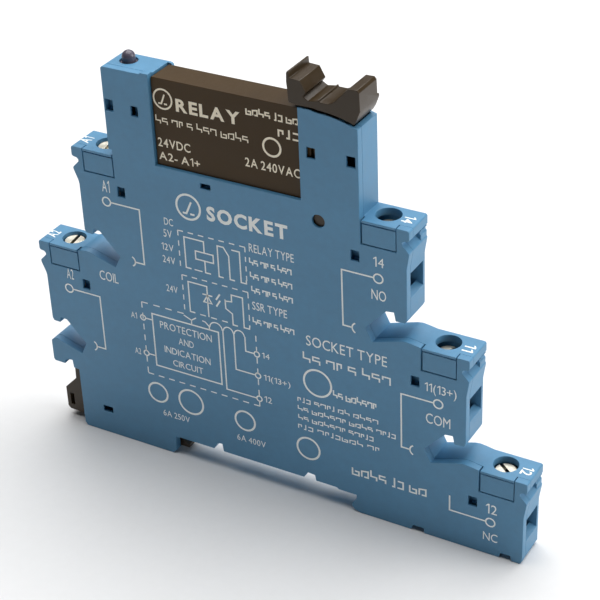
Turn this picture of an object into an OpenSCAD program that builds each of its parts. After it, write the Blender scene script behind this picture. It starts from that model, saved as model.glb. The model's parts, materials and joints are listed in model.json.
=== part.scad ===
// Slim relay interface module for a 35 mm rail: a two-shell socket with stepped
// screw terminals, a plug-in solid-state relay, a retaining and ejecting lever and
// a sprung rail foot.
// X runs along the module from the control terminals (-X) to the load terminals (+X),
// Y runs along the rail and Z points away from it. The origin is the middle of the
// pad that rests on the rail.

/* [Module body] */
// Thickness of the module along the rail
body_t = 6.2; // [6.2:0.1:7.6]
// Thickness of the snap-on cover
cover_t = 1.35; // [1.2:0.05:1.5]
// Thickness of the base's wall behind the terminals
back_t = 0.6; // [0.5:0.05:0.8]
// Depth of the body below the rail's face
foot_drop = 3.76; // [3.4:0.02:4.6]
// Height of the lowest terminal block above the underside
low_block_h = 16.03; // [15.6:0.01:20]
// Height step from one terminal to the next
step_z = 19.9; // [19:0.1:24]
// Sideways step between load terminals
step_x_load = 10.05; // [9.4:0.05:13]
// Sideways step between control terminals
step_x_ctrl = 9.3; // [8.8:0.05:12]
// How far the control terminals stand above the load terminals
ctrl_rise = 0.88; // [0:0.02:1.5]
// Height of the relay's seat above the top load terminal
seat_rise = 0.93; // [0.6:0.01:1.6]

/* [Terminals] */
// Length of a terminal block from the tower to its lip, load side
head_load = 8.25; // [8.1:0.05:10]
// Length of a terminal block from the tower to its lip, control side
head_ctrl = 7.6; // [7.5:0.05:9.2]
// Height of the lip over the marker groove
lip_h = 1.85; // [1.5:0.05:2.3]
// Depth of the marker groove
groove_d = 1.25; // [1.0:0.05:1.3]
// Distance from the lip to the screw's axis
screw_in = 5.1; // [5:0.05:5.3]
// Diameter of the screwdriver hole
driver_d = 4.1; // [3.9:0.05:4.2]
// Thickness of the top wall over the clamp
top_wall = 1.25; // [1:0.05:1.4]
// Height of the wire entry
entry_h = 3.7; // [3.2:0.1:4]
// Depth of the middle of the wire entry below the terminal's top
entry_z = 9.9; // [9.7:0.05:10.2]

/* [Clamps] */
// Diameter of the clamp screw's thread
screw_d = 2.5; // [2:0.1:2.6]
// Diameter of the clamp screw's head
head_d = 3.7; // [3.3:0.05:3.8]
// Height of the clamp screw's head
head_h = 1.5; // [1.2:0.1:1.6]
// Travel of the clamp screw
screw_travel = 2; // [1.5:0.1:2]
// Thickness of the clamp frame's metal
frame_t = 0.5; // [0.4:0.05:0.6]
// Length of the clamp frame along the wire
frame_l = 4.6; // [4:0.1:5]
// Thickness of the contact strips
strip_t = 0.5; // [0.4:0.05:0.6]

/* [Relay] */
// Length of the relay
relay_l = 28; // [26:0.5:34]
// Thickness of the relay
relay_t = 5; // [4.6:0.05:5.1]
// Height of the relay's case
relay_h = 15.1; // [14:0.1:18.2]
// Thickness of the relay's case wall
case_t = 0.45; // [0.35:0.05:0.6]
// Length of the relay's pins below its case
pin_l = 3.5; // [3:0.1:4]
// Width of a relay pin
pin_w = 1.1; // [0.8:0.1:1.4]
// Thickness of a relay pin
pin_t = 0.4; // [0.3:0.05:0.5]
// Distance from the relay's left end to the first pin
pin_first = 2.5; // [2.2:0.1:3]

/* [Towers and lever] */
// Width of the indicator's tower
led_tower_w = 8.85; // [8:0.05:10.4]
// Width of the lever's tower beyond the relay
lever_room = 8.2; // [8.2:0.1:10]
// Length of the relay's end that the lever's tower hides
relay_hidden = 1.8; // [1.5:0.1:2.4]
// Height of the indicator's tower above the relay
tower_over = 0.25; // [0.1:0.05:1]
// Distance of the lever's pivot beyond the relay
pivot_x = 1.1; // [1:0.05:1.3]
// Depth of the lever's pivot below the relay's seat
pivot_z = 2.9; // [2.8:0.05:3.2]
// Diameter of the lever's trunnions
pivot_d = 2.1; // [1.8:0.05:2.4]
// Thickness of the lever's neck
neck_t = 2; // [1.6:0.1:2.2]
// Diameter of the indicator's flange
led_d = 2.9; // [2.8:0.1:3.2]
// Diameter of the indicator's lens
lens_d = 2.2; // [1.8:0.1:2.4]
// Height of the lens above the tower
lens_h = 1.7; // [1.2:0.1:2]
// Length of the lug behind the relay's end
lug_l = 0.95; // [0.6:0.05:1.2]

/* [Rail foot] */
// Width of the recess on the foot's side of the middle
recess_foot = 18; // [17.8:0.1:18.4]
// Width of the recess on the fixed hook's side of the middle
recess_hook = 17.5; // [17.5:0.05:17.8]
// Thickness of the foot
foot_t = 3.2; // [2.6:0.1:3.3]
// Travel of the foot
foot_travel = 2.5; // [2:0.1:2.6]
// Outer diameter of the foot's spring
spring_d = 2.6; // [2.2:0.1:2.8]
// Wire diameter of the foot's spring
spring_wire = 0.35; // [0.25:0.05:0.4]

/* [Clearances] */
// Radial clearance of the trunnions and screws in their bores
run_gap = 0.05; // [0.02:0.01:0.1]
// Gap round a part that slides
slide_gap = 0.15; // [0.1:0.05:0.2]
// Width of the line round each tongue in the cover
line_gap = 0.15; // [0.1:0.05:0.2]

/* [Hidden] */
$fn = 48;
eps = 0.01;

// Levels
z_under = -foot_drop;
z_low = z_under + low_block_h;
z_load = [z_low + 2 * step_z, z_low + step_z, z_low];
z_ctrl = [z_load[0] + ctrl_rise, z_load[1] + ctrl_rise, z_load[2] + ctrl_rise];
z_seat = z_load[0] + seat_rise;
relay_z0 = z_seat + 0.05;
relay_z1 = relay_z0 + relay_h;
z_tower = relay_z1 + tower_over;

// Stations along the module
end_gap = 0.15;                                  // between the relay and the indicator's tower
relay_x0 = -17;
relay_x1 = relay_x0 + relay_l;
led_x1 = relay_x0 - end_gap;
led_x0 = led_x1 - led_tower_w;
lev_x0 = relay_x1 - relay_hidden;
lev_x1 = relay_x1 + lever_room;
lip_load = [for (i = [0:2]) lev_x1 + head_load + i * step_x_load];
lip_ctrl = [for (i = [0:1]) led_x0 - head_ctrl - i * step_x_ctrl];
left_x = lip_ctrl[1] + 5.35;
pivot = [relay_x1 + pivot_x, z_seat - pivot_z];

// Planes across the thickness: near face, cover's inside, chamber's back, far face
y_near = -body_t / 2;
y_far = body_t / 2;
y_cover = y_near + cover_t;
y_back = y_far - back_t;
y_mid = (y_cover + y_back) / 2;
groove_y = 1.1;
bay_wall = (body_t - relay_t) / 2 - 0.1;
window_wall = 0.5;                               // thickness of the cover round a snap window

// Terminal blocks: side, lip, top, inset of the end face, screw depth and its slot's turn at rest
TERMS = [["a1", -1, lip_ctrl[0], z_ctrl[0], 0.9, 0.5, 78],
         ["a2", -1, lip_ctrl[1], z_ctrl[1], 0.9, 0.5, 82],
         ["14", 1, lip_load[0], z_load[0], 0.45, 1.75, 24],
         ["11", 1, lip_load[1], z_load[1], 0.45, 1.75, 66],
         ["12", 1, lip_load[2], z_load[2], 0.45, 1.1, -39]];
function side(t) = t[1];
function lip(t) = t[2];
function top(t) = t[3];
function inset(t) = t[4];
function depth(t) = t[5];
function slot_turn(t) = t[6];

// Clamp levels below a terminal's top
room_in = 8.0;                                   // inner end of the chamber from the lip
room_out = 1.7;                                  // outer end of the chamber from the lip
cage_top = 0.5 + screw_travel + head_h + 0.3;    // top of the clamp frame
cage_head_t = 1.2;                               // thickness of its threaded bridge
strip_z = entry_z + entry_h / 2 - 0.05;          // top of the contact strip
cage_low = strip_z + strip_t + frame_t + 0.3;    // underside of the clamp frame
room_low = cage_low + 0.1;                       // floor of the chamber
cage_w = y_back - y_cover - 0.25;                // width of the clamp frame
plate_t = 0.8;                                   // thickness of the pressure plate
shank_l = entry_z - entry_h / 2 - 0.05 - plate_t - 0.5 - head_h;

// Relay contacts: distance from the first pin to each pin, and the seat's contacts
PIN_A = [0, 3.8];                                // control pins from the left end
PIN_L = [2.6, 7.6];                              // load pins 14 and 11 from the right end
pins_x = [relay_x0 + pin_first + PIN_A[0], relay_x0 + pin_first + PIN_A[1],
          relay_x1 - PIN_L[1], relay_x1 - PIN_L[0]];
spare_x = relay_x1 - PIN_L[1] - 5;               // contact for terminal 12
clip_w = 1.8;
clip_top = z_seat - 0.35;
clip_h = 6;
leaf_t = 0.35;

// ---------------------------------------------------------------- helpers
// Extrudes a side profile between two planes across the thickness
module slab(y0, y1) translate([0, y1, 0]) rotate([90, 0, 0]) linear_extrude(y1 - y0) children();

// Box from one corner to the other
module block(a, b) translate(a) cube(b - a);

// Points of an arc in the side view
function arc(c, r, a0, a1, n) =
    [for (i = [0:n]) let (a = a0 + (a1 - a0) * i / n) [c[0] + r * cos(a), c[1] + r * sin(a)]];

// Turns distances (outwards from the lip, up from a level) into points of the side view
function out(s, x, z, pts) = [for (p = pts) [x + s * p[0], z + p[1]]];
function turned(pts) = [for (i = [len(pts) - 1:-1:0]) pts[i]];

// Edge of one terminal block from its top corner to the ridge under the marker groove
function lip_edge(s, x, z, face, deep) =
    out(s, x, z, concat(arc([-0.35, -0.35], 0.35, 90, 0, 3),
        [[0, 0.25 - lip_h], [-0.25, -lip_h], [-deep + 0.3, -lip_h - 0.12]],
        arc([-deep + 0.45, -lip_h - 0.57], 0.45, 120, 240, 4),
        [[-0.15, -lip_h - 1.85], [-0.02, -lip_h - 2.05], [-0.05, -lip_h - 2.4],
         [-face + 0.1, -lip_h - 4.3], [-face, -lip_h - 4.9]]));

// Underside of one block with its nib, the slanted roof of the link slot, the slot's
// end and the ramp that leads out to the next block's top, whose level is z
function slot_edge(s, x, z, face, step) =
    out(s, x, z, [[-face, 4.3], [-face - 0.3, 3.65], [-2.4, 3.6], [-2.7, 5.1], [-4, 4.95],
        [-7.65, 1.05], [-6.5, -1.3], [-1.6, 0.25], [-0.7, 0.38], [0.4, 0.25],
        [step - room_in - 0.25, 0]]);

// Load side of the outline from the lever's tower down to the underside
function load_edge(deep) = [for (i = [0:2]) each concat(
    i == 0 ? [[lev_x1, z_load[0]]] : [],
    lip_edge(1, lip_load[i], z_load[i], 0.45, deep),
    i < 2 ? slot_edge(1, lip_load[i], z_load[i + 1], 0.45, step_x_load)
          : [[lip_load[2] - 0.45, z_under + 0.7], [lip_load[2] - 0.8, z_under]])];

// Control side of the outline, from the indicator's tower down to the rail foot
function ctrl_edge(deep) = [for (i = [0:1]) each concat(
    i == 0 ? [[led_x0, z_ctrl[0]]] : [],
    lip_edge(-1, lip_ctrl[i], z_ctrl[i], 0.9, deep),
    out(-1, lip_ctrl[i], z_ctrl[i + 1], [[-0.9, 4.6], [-1.2, 4.05], [-2.5, 4.0], [-2.8, 5.1],
        [-4, 4.95], [-7.65, 1.05], [-6.5, -1.3]]),
    i < 1 ? out(-1, lip_ctrl[0], z_ctrl[1], [[-1.6, 0.25], [-0.7, 0.38], [0.4, 0.25],
        [step_x_ctrl - room_in - 0.25, 0]])
          : out(-1, lip_ctrl[1], z_ctrl[2], [[-1.5, 0.35], [-0.8, 0.3], [0, -0.35], [0, -4.2],
        [-0.25, -4.6], [-2.4, -4.65], [-2.7, -3.65], [-4.1, -3.45], [-4.25, -5], [-5.35, -5.05]]))];

// Underside from the load end to the foot, with the rail recess and its three pads
function under_edge() = concat(
    // relief notches in the underside
    out(1, lip_load[2], z_under, [[-2.3, 0], [-2.5, 0.95], [-4.2, 0.95], [-4.5, 0],
        [-17.7, 0], [-17.75, 0.95], [-19.7, 0.95], [-20.05, 0]]),
    // fixed hook
    [[recess_hook + 0.7, z_under], [recess_hook - 0.5, z_under + 0.45],
     [recess_hook - 0.85, z_under + 0.9], [recess_hook - 0.85, z_under + 1.5],
     [recess_hook, -1.15], [recess_hook, -0.3], [14.2, -0.3], [13.8, 0]],
    // grooves beside the middle pad
    [[9.9, 0], [9.7, 1.1], [8.4, 1.2], [7.6, 0], [-8.2, 0], [-8.4, 1.5], [-9.3, 1.4], [-10.1, 0],
     [-recess_foot, 0], [-recess_foot, z_under + 0.8], [-recess_foot - 0.8, z_under]],
    [[left_x + 0.5, z_under], [left_x, z_under + 0.6]]);

// Top of the lever's tower, which follows the lever's swing past its flat corner
tower_r = 18.15 + (relay_h - 15.1);
function lever_tower_edge() = concat(
    [[lev_x0, z_seat], [lev_x0, z_tower + 0.1], [pivot[0] - 0.9, z_tower + 0.1]],
    arc(pivot, tower_r, 89, 90 - asin((lev_x1 - 0.9 - pivot[0]) / tower_r), 8),
    [[lev_x1, pivot[1] + tower_r * 0.925]]);

// Whole side profile of the housing, clockwise from the indicator's tower
function outline(deep) = concat(
    [[led_x0, z_ctrl[0]], [led_x0, z_tower - 0.3], [led_x0 + 0.3, z_tower],
     [led_x1, z_tower], [led_x1, z_seat]],
    lever_tower_edge(), load_edge(deep), under_edge(), turned(ctrl_edge(deep)));

// Everything of one terminal, in its own place: x outwards from the lip, z down from the top
module at_term(t) translate([lip(t), 0, top(t)]) scale_side(side(t)) children();
module scale_side(s) if (s > 0) children(); else mirror([1, 0, 0]) children();

// ---------------------------------------------------------------- housing
// Snap windows in the cover, each with a latch behind it: middle, width and height
WINDOWS = concat(
    [[led_x1 - 3.1, z_tower - 6.65, 1.35, 1.75], [led_x0 + 1, z_tower - 6.5, 1.5, 2.0],
     [relay_x0 + 9, z_seat - 1.7, 1.9, 0.95]],
    [for (t = TERMS) [lip(t) - side(t) * 9.2, top(t) - 6.45, 1.5, 1.85]]);
// Windows onto the lever's room and the foot's spring, with no latch
OPEN_WINDOWS = [[lev_x1 - 1.25, z_tower - 7.0, 1.5, 1.8], [lev_x0 + 2.0, z_tower - 7.0, 1.5, 1.8],
                [left_x + 5.5, 1.3, 2, 1.2]];
// Reach of the pocket behind a window, and its reach to the side, none at the tower's edge
pocket = 0.5;
function pocket_side(w) = w[0] < led_x0 + 2 && w[1] > z_seat ? 0 : pocket;

// Chamber of one clamp with its driver hole and its wire entry
module clamp_room(t) at_term(t) {
    block([-room_in, y_cover - eps, -room_low], [-room_out, y_back, -top_wall]);
    translate([-screw_in, y_mid, -top_wall - 1]) cylinder(d = driver_d, h = top_wall + 2);
    // the entry flares downwards to lead the wire in
    slab(y_cover - eps, y_back) polygon([[-room_out - 0.2, -entry_z + entry_h / 2],
        [0.1, -entry_z + entry_h / 2 + 0.15], [0.1, -entry_z - entry_h / 2 - 0.75],
        [-room_out + 0.1, -entry_z - entry_h / 2], [-room_out - 0.2, -entry_z - entry_h / 2]]);
}

// Tongue over the clamp that closes the cover's window, with a bevelled lip above it
module tongue(t) at_term(t) {
    block([-room_in + 0.05, y_near + 0.12, -4.0], [-2.3, y_cover + eps, -0.62]);
    slab(y_near + 0.02, y_cover + eps)
        polygon([[-room_in + 0.05, 0], [-room_in + 0.05, -0.42], [-2.3, -0.42], [-2.3, 0]]);
    block([-room_in + 0.05, y_near + 0.4, -0.7], [-2.3, y_cover + eps, -0.3]);
}

// Side profile of a strip's route through the base, opened by a clearance
module route(pts, wide) for (i = [0:len(pts) - 2])
    let (a = pts[i], b = pts[i + 1], w = wide / 2)
        translate([min(a[0], b[0]) - w, min(a[1], b[1]) - w])
            square([abs(a[0] - b[0]) + wide, abs(a[1] - b[1]) + wide]);

// Routes of the contact strips from the clamp to the relay's seat
function strip_mid(t) = top(t) - strip_z - strip_t / 2;
route_14 = [[lip(TERMS[2]) - 3.1, strip_mid(TERMS[2])], [pins_x[3], strip_mid(TERMS[2])],
            [pins_x[3], clip_top - clip_h]];
route_11 = [[lip(TERMS[3]) - 3.1, strip_mid(TERMS[3])], [pins_x[2], strip_mid(TERMS[3])],
            [pins_x[2], clip_top - clip_h]];
rise_x = lip(TERMS[4]) - 24;
route_12 = [[lip(TERMS[4]) - 3.1, strip_mid(TERMS[4])], [rise_x, strip_mid(TERMS[4])],
            [rise_x, 6], [spare_x, 6], [spare_x, clip_top - clip_h]];
board_x0 = led_x0 + 1.3;
board_x1 = spare_x - 2.6;
board_z0 = z_ctrl[1] - strip_z - 5;
board_z1 = z_seat - 8.2;
route_a1 = [[lip(TERMS[0]) + 3.1, strip_mid(TERMS[0])], [board_x0 + 2.4, strip_mid(TERMS[0])]];
route_a2 = [[lip(TERMS[1]) + 3.1, strip_mid(TERMS[1])], [board_x0 + 2.4, strip_mid(TERMS[1])]];
strip_w = cage_w - 2 * frame_t - 0.6;

module strip_channel(pts) slab(y_cover - eps, y_mid + strip_w / 2 + 0.1) route(pts, strip_t + 0.3);

// Room of the lever, its fork and the relay's end; the cover and the base each keep a wall
module lever_room_cut() {
    block([lev_x0 - 0.1, -body_t / 2 + bay_wall, z_seat - 0.2],
          [lev_x1 - 0.8, body_t / 2 - bay_wall, z_tower + 1]);
    block([pivot[0] - 2.4, -body_t / 2 + bay_wall, pivot[1] - 2.3],
          [lev_x1 - 0.8, body_t / 2 - bay_wall, z_seat]);
    for (s = [-1, 1]) block([fork_x - 0.6, s > 0 ? 1.2 : -fork_y - 0.2, pivot[1] - 0.3],
                            [pivot[0], s > 0 ? fork_y + 0.2 : -1.2, z_seat + 0.1]);
}

// Slots for one relay contact: its clip, open at the seat
module clip_room(x) block([x - clip_w / 2 - 0.25, y_cover - eps, clip_top - clip_h - 0.3],
                          [x + clip_w / 2 + 0.25, 1.15, z_seat + 0.1]);

// Side profile of the rail foot's guide
foot_top = 7.2;
foot_y = y_cover + slide_gap;
nose_x = -recess_foot + 1.7;
module foot_room() {
    slab(y_cover - eps, foot_y + foot_t + slide_gap) {
        // the bar runs from the recess out to the control side
        polygon([[-recess_foot + 0.1, -0.5 + slide_gap], [-recess_foot + 0.1, -2.9 - slide_gap],
                 [left_x - 0.1, -2.9 - slide_gap], [left_x - 0.1, foot_top + slide_gap],
                 [left_x + 1.2 + slide_gap, foot_top + slide_gap],
                 [left_x + 1.2 + slide_gap, -0.5 + slide_gap]]);
        // the spring's pocket
        translate([spring_x0, -0.6]) square([spring_l + 1.6 + slide_gap, spring_d + 1.3]);
    }
}
spring_x0 = left_x + 4.5;
spring_l = 9;
spring_z = 0.35 + spring_d / 2;

// Base: the deep half, with the far wall, the end walls and every chamber
module housing_base() color("#3f7fb0") difference() {
    union() {
        slab(y_cover, groove_y) polygon(outline(groove_d));
        slab(groove_y - eps, y_far) polygon(outline(0.35));
        for (t = TERMS) tongue(t);
        // rounded lug on the far side that steadies the relay's end
        slab(relay_t / 2 + 0.1, y_far) polygon(concat([[led_x1 - 1, z_seat - 1], [led_x1 - 1, z_tower]],
            arc([led_x1 + lug_l - 0.6, z_tower - 0.6], 0.6, 90, 0, 4), [[led_x1 + lug_l, z_seat - 1]]));
        // latches that hook behind the lower edge of the cover's windows
        for (w = WINDOWS) block([w[0] - w[2] / 2 + 0.2, y_cover - 0.45, w[1] - w[3] / 2 - 0.4],
                                [w[0] + w[2] / 2 - 0.2, y_cover + eps, w[1] - w[3] / 2 + 0.1]);
    }
    for (t = TERMS) clamp_room(t);
    for (r = [route_a1, route_a2, route_14, route_11, route_12]) strip_channel(r);
    // chamber of the circuit board and the indicator's shaft
    block([board_x0, y_cover - eps, board_z0], [board_x1, y_back - 0.1, board_z1]);
    block([led_x0 + 1.1, y_cover - eps, board_z1 - 1], [led_x1 - 3.8, y_back - 0.1, z_tower - 4]);
    translate([led_c, led_y, z_tower - 5]) cylinder(d = led_d + 2 * run_gap, h = 6);
    // lead-throughs from the board up to the relay's control contacts
    for (x = [pins_x[0], pins_x[1], spare_x, pins_x[2], pins_x[3]]) clip_room(x);
    for (x = [pins_x[0], pins_x[1]])
        block([x - 0.7, y_cover - eps, board_z1 - 1], [x + 0.7, 1.15, clip_top - clip_h + 1]);
    lever_room_cut();
    translate([pivot[0], 0, pivot[1]]) rotate([-90, 0, 0]) cylinder(d = pivot_d + 2 * run_gap, h = body_t);
    foot_room();
    // sockets of the cover's dowels
    for (p = DOWELS) translate([p[0], y_cover - 1, p[1]]) rotate([-90, 0, 0]) cylinder(d = 1.9, h = 3.2);
}
led_c = led_x0 + 2.9;
led_y = y_mid + 0.35;
DOWELS = [[led_x0 + 3, z_ctrl[1] - 19.5], [relay_x1 - 2, z_load[2] - 2.6], [lev_x1 - 2.5, z_load[1] - 4]];

// Cover: the printed plate with its windows, tongues' openings and dowels
module housing_cover() color("#4a7a9c") difference() {
    union() {
        slab(y_near, y_cover) polygon(outline(groove_d));
        // raised corner beside the relay
        slab(y_near, y_cover) polygon([[led_x1 - 1.6, z_tower - 1], [led_x1 - 1.6, z_tower],
            [led_x1 - 1.35, z_tower + 0.25], [led_x1, z_tower + 0.25], [led_x1, z_tower - 1]]);
        for (p = DOWELS) translate([p[0], y_cover - eps, p[1]]) rotate([-90, 0, 0]) cylinder(d = 1.8, h = 2);
    }
    for (t = TERMS) at_term(t)
        block([-room_in - 0.05 - line_gap, y_near - 1, -4.0 - line_gap], [-2.3 + line_gap, y_cover + 1, 1]);
    // each window lies in a thin wall, with a wider pocket behind it where the plate has room
    for (w = concat(WINDOWS, OPEN_WINDOWS)) {
        block([w[0] - w[2] / 2, y_near - 1, w[1] - w[3] / 2],
              [w[0] + w[2] / 2, y_cover + 1, w[1] + w[3] / 2]);
        block([w[0] - w[2] / 2 - pocket_side(w), y_near + window_wall, w[1] - w[3] / 2 - pocket],
              [w[0] + w[2] / 2, y_cover + 1, w[1] + w[3] / 2 + 0.4]);
    }
    lever_room_cut();
    translate([pivot[0], -body_t, pivot[1]]) rotate([-90, 0, 0]) cylinder(d = pivot_d + 2 * run_gap, h = body_t);
    // drain notches at the blocks' nibs
    for (x = [[lip_ctrl[1] + 2.6, z_ctrl[2] + 4], [lip_ctrl[1] + 2.5, z_ctrl[2] - 4.65]])
        block([x[0], y_near - 1, x[1] - 0.1], [x[0] + 0.8, y_cover + 1, x[1] + 0.75]);
}

// ---------------------------------------------------------------- indicator and board
module status_led() color("#2b2b30") {
    translate([led_c, led_y, z_tower]) {
        translate([0, 0, -3.6]) cylinder(d = led_d, h = 3.3);
        translate([0, 0, -0.4]) cylinder(d = lens_d, h = lens_h - lens_d / 2 + 0.4);
        translate([0, 0, lens_h - lens_d / 2]) sphere(d = lens_d);
    }
    for (s = [-1, 1]) block([led_c + s * 0.9 - 0.2, led_y - 0.2, board_z1 - 3],
                            [led_c + s * 0.9 + 0.2, led_y + 0.2, z_tower - 3.6 + eps]);
}

board_t = 0.8;                       // thickness of both circuit boards
board_y = y_mid + strip_w / 2;       // the strips end on the board's face
module circuit_board() color("#2f6b3c") difference() {
    block([board_x0 + 0.3, board_y, board_z0 + 0.3], [board_x1 - 0.3, board_y + board_t, board_z1 - 0.3]);
    // corner cut that keys the board in its chamber
    translate([board_x1 - 0.3, board_y, board_z0 + 0.3]) rotate([0, 45, 0]) cube([4, 4, 4], center = true);
}
// Bridge rectifier with its four legs
module board_rectifier() color("#1d1d1f") translate([board_x0 + 9, board_y, board_z0 + 12]) {
    block([-2.3, -1.6, -2], [2.3, -0.2, 2]);
    for (sx = [-1, 1], sz = [-1, 1])
        block([sx * 1.3 - 0.3, -0.6, sz * 2.4 - 0.6], [sx * 1.3 + 0.3, 0, sz * 2.4 + 0.6]);
}
module board_capacitor() color("#c9a23b") translate([board_x0 + 9, board_y - 1.3, board_z0 + 19.5])
    intersection() {
        block([-2.2, -1.2, -2], [2.2, 1.3, 2]);
        rotate([90, 0, 0]) cylinder(r = 2.6, h = 6, center = true);
    }
module board_suppressor() color("#3b3b3f") translate([board_x0 + 4, board_y, board_z0 + 8.8]) {
    translate([0, -1.35, -2.1]) cylinder(d = 2.5, h = 4.2);
    for (z = [-2.8, 2.1]) block([-0.35, -1.6, z], [0.35, 0, z + 0.7]);
}
module board_resistors() color("#8fb3c9") for (i = [0:2])
    translate([board_x0 + 4 + 4.2 * i, board_y, board_z0 + 3.6]) {
        translate([0, -0.8, -1.6]) cylinder(d = 1.4, h = 3.2);
        for (z = [-1.75, 1.35]) translate([0, -0.8, z]) cylinder(d = 1.6, h = 0.4);
    }

// ---------------------------------------------------------------- contacts
// Clip that takes one relay pin between two sprung leaves
module clip(x) translate([x, 0, clip_top]) for (s = [-1, 1]) scale_y(s) slab_yz(clip_w)
    polygon([[pin_t / 2 + 0.03, -0.9], [pin_t / 2 + 0.4, 0], [pin_t / 2 + 0.75, -0.1],
             [pin_t / 2 + 0.03 + leaf_t, -1.2], [0.95, -3.4], [0.95, -clip_h], [0, -clip_h],
             [0, -clip_h + leaf_t], [0.6, -clip_h + leaf_t], [0.6, -3.5]]);
module scale_y(s) if (s > 0) children(); else mirror([0, 1, 0]) children();
// Extrudes a front profile (across, up) along the module
module slab_yz(w) translate([-w / 2, 0, 0]) rotate([90, 0, 90]) linear_extrude(w) children();

module strip(pts) slab(y_mid - strip_w / 2, y_mid + strip_w / 2) route(pts, strip_t);
// Strip with the relay contact that is stamped from the same metal
module load_strip(pts, x) color("#c98b5a") {
    strip(pts);
    clip(x);
}
module strip_14() load_strip(route_14, pins_x[3]);
module strip_11() load_strip(route_11, pins_x[2]);
module strip_12() load_strip(route_12, spare_x);
module strip_a1() color("#c98b5a") strip(route_a1);
module strip_a2() color("#c98b5a") strip(route_a2);
module coil_contact(x) color("#c98b5a") {
    clip(x);
    block([x - 0.4, 0.5, board_z1 - 4], [x + 0.4, 0.9, clip_top - clip_h + eps]);
    // foot soldered to the circuit board
    block([x - 0.4, 0.5, board_z1 - 4], [x + 0.4, board_y, board_z1 - 3.5]);
}
module coil_contact_a1() coil_contact(pins_x[0]);
module coil_contact_a2() coil_contact(pins_x[1]);

// ---------------------------------------------------------------- clamps
// Rectangular clamp frame with its threaded bridge, open along the wire
module clamp_frame(t) color("#c9ccd0") at_term(t) translate([-screw_in, y_mid, 0]) difference() {
    block([-frame_l / 2, -cage_w / 2, -cage_low], [frame_l / 2, cage_w / 2, -cage_top]);
    block([-frame_l, -cage_w / 2 + frame_t, -strip_z - strip_t],
          [frame_l, cage_w / 2 - frame_t, -cage_top - cage_head_t]);
    translate([0, 0, -cage_top - 2]) cylinder(d = screw_d + 2 * run_gap, h = 3);
}
// Grooved pressure plate under the screw's tip
module pressure_plate(t) color("#d8dadd") at_term(t)
    translate([-screw_in, y_mid, -depth(t) - head_h - shank_l]) difference() {
        block([-frame_l / 2 + 0.2, -cage_w / 2 + frame_t + 0.1, -plate_t],
              [frame_l / 2 - 0.2, cage_w / 2 - frame_t - 0.1, 0]);
        for (x = [-1.2, 0, 1.2]) translate([x, 0, -plate_t]) rotate([90, 0, 0])
            cylinder(r = 0.22, h = cage_w, center = true);
    }
// Slotted cheese-head screw
module clamp_screw(t) color("#e8e3cf") at_term(t) translate([-screw_in, y_mid, -depth(t)]) difference() {
    union() {
        translate([0, 0, -head_h]) cylinder(d = head_d, h = head_h - 0.2);
        translate([0, 0, -0.2]) cylinder(d1 = head_d, d2 = head_d - 0.4, h = 0.2);
        translate([0, 0, -head_h - shank_l]) cylinder(d = screw_d, h = shank_l + eps);
    }
    rotate([0, 0, slot_turn(t)]) block([-head_d, -0.3, -0.8], [head_d, 0.3, 1]);
}

// ---------------------------------------------------------------- lever
fork_x = relay_x1 - 5.6;
fork_y = 2.1;
reach = relay_z1 - pivot[1];
head_z = relay_z1 + 0.7;
sweep_r = tower_r + 0.45;
// Full-width head, saddle and handle in the side view
function head_profile() = concat(
    [[relay_x1 - 3.25, head_z + 0.15], [relay_x1 - 3.4, relay_z1 + 3.1], [relay_x1 - 3.5, relay_z1 + 4.1],
     [relay_x1 - 3.45, relay_z1 + 5.5], [relay_x1 - 3.3, relay_z1 + 5.8], [relay_x1 - 3.0, relay_z1 + 5.8],
     [relay_x1 - 2.95, relay_z1 + 4.8], [relay_x1 - 1.2, relay_z1 + 4.7], [relay_x1 - 0.25, relay_z1 + 2.95],
     [relay_x1 - 0.75, relay_z1 + 2.25], [relay_x1 + 0.1, relay_z1 + 1.75]],
    [[relay_x1 + 1.6, relay_z1 + 2.0], [relay_x1 + 1.7, relay_z1 + 2.2], [relay_x1 + 1.9, relay_z1 + 2.2],
     [relay_x1 + 2.0, relay_z1 + 1.9], [relay_x1 + 3.4, relay_z1 + 1.9], [relay_x1 + 4.3, relay_z1 + 2.3],
     [relay_x1 + 6, relay_z1 + 4.1], [relay_x1 + 6.8, relay_z1 + 4.95], [relay_x1 + 8.2, relay_z1 + 5.0],
     [relay_x1 + 8.55, relay_z1 + 4.6], [relay_x1 + 8.65, relay_z1 + 1.7], [relay_x1 + 8.1, relay_z1 + 0.25]],
    arc(pivot, sweep_r, 90 - asin((7.6 - pivot_x) / sweep_r), 88, 6),
    [[pivot[0] - 0.2, head_z], [relay_x1 - 2, head_z]]);
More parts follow.
